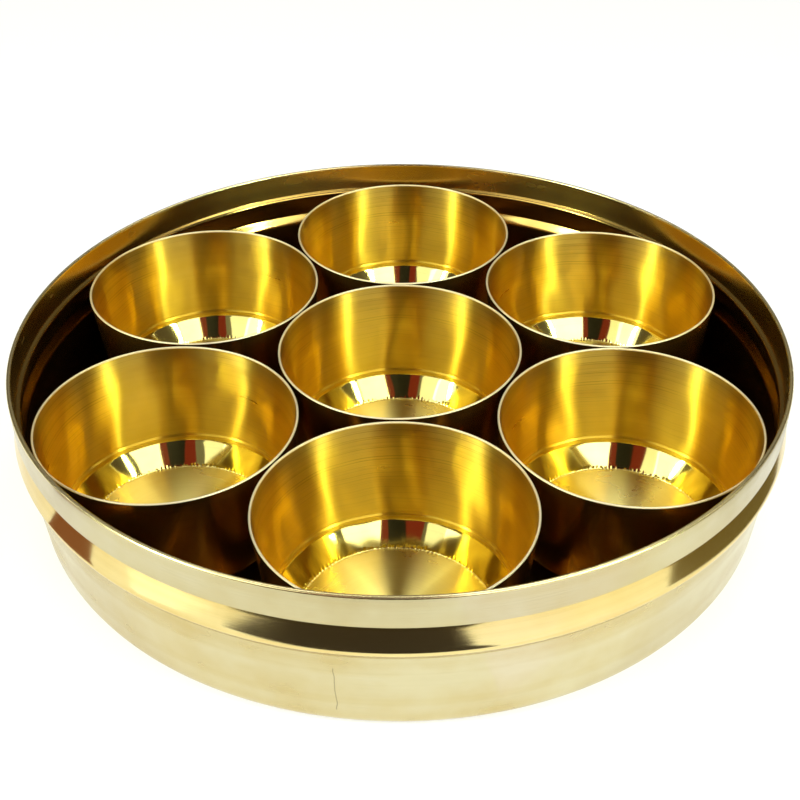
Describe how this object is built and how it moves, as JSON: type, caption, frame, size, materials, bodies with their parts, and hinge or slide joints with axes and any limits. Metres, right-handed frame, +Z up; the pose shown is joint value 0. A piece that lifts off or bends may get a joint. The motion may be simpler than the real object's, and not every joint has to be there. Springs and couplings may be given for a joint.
{
  "type": "spice box",
  "caption": "Round spun-brass spice box (masala dabba) with a plain neck for a lid, holding a centre cup and a ring of loose cups that lift straight out.",
  "frame": {"origin": "centre of the flat underside, on the surface that the box stands on", "axes": "+Z up along the box's axis of revolution; the front cup is towards -Y and +X is to its right"},
  "size_m": [0.2274, 0.2274, 0.0478],
  "materials": {
    "box_brass": "polished on a lathe, pale",
    "cup_brass": "brushed sides, satin floor, golden"
  },
  "bodies": {
    "root": {"box_base": "box_brass"},
    "centre_cup": {"centre_cup": "cup_brass"},
    "front_cup": {"front_cup": "cup_brass"},
    "front_right_cup": {"front_right_cup": "cup_brass"},
    "back_right_cup": {"back_right_cup": "cup_brass"},
    "back_cup": {"back_cup": "cup_brass"},
    "back_left_cup": {"back_left_cup": "cup_brass"},
    "front_left_cup": {"front_left_cup": "cup_brass"}
  },
  "joints": [
    {"name": "centre_cup_lift", "type": "slide", "parent": "root", "child": "centre_cup", "axis": [0, 0, 1], "range_m": [0, 0.06]},
    {"name": "front_cup_lift", "type": "slide", "parent": "root", "child": "front_cup", "axis": [0, 0, 1], "range_m": [0, 0.06]},
    {"name": "front_right_cup_lift", "type": "slide", "parent": "root", "child": "front_right_cup", "axis": [0, 0, 1], "range_m": [0, 0.06]},
    {"name": "back_right_cup_lift", "type": "slide", "parent": "root", "child": "back_right_cup", "axis": [0, 0, 1], "range_m": [0, 0.06]},
    {"name": "back_cup_lift", "type": "slide", "parent": "root", "child": "back_cup", "axis": [0, 0, 1], "range_m": [0, 0.06]},
    {"name": "back_left_cup_lift", "type": "slide", "parent": "root", "child": "back_left_cup", "axis": [0, 0, 1], "range_m": [0, 0.06]},
    {"name": "front_left_cup_lift", "type": "slide", "parent": "root", "child": "front_left_cup", "axis": [0, 0, 1], "range_m": [0, 0.06]}
  ]
}
